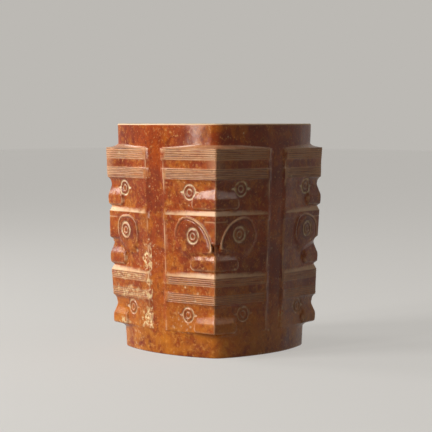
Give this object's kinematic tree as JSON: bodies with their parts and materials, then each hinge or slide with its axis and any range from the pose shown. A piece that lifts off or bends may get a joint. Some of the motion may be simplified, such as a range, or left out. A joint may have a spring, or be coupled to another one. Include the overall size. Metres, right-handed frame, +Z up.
{
  "type": "jade cong",
  "caption": "Square-rounded tapered stone tube with a drilled bore and carved corner blocks of masks, a free-standing ritual or display piece.",
  "frame": {"origin": "centre of the bore at the foot, on the plane the foot stands on", "axes": "+Z up along the bore, +X and +Y out through the upright channels of two neighbouring faces"},
  "size_m": [0.0766, 0.0766, 0.1],
  "materials": {
    "polished_brown_jade": "polished, waxy gloss"
  },
  "bodies": {
    "root": {"cong_body": "polished_brown_jade"}
  },
  "joints": []
}
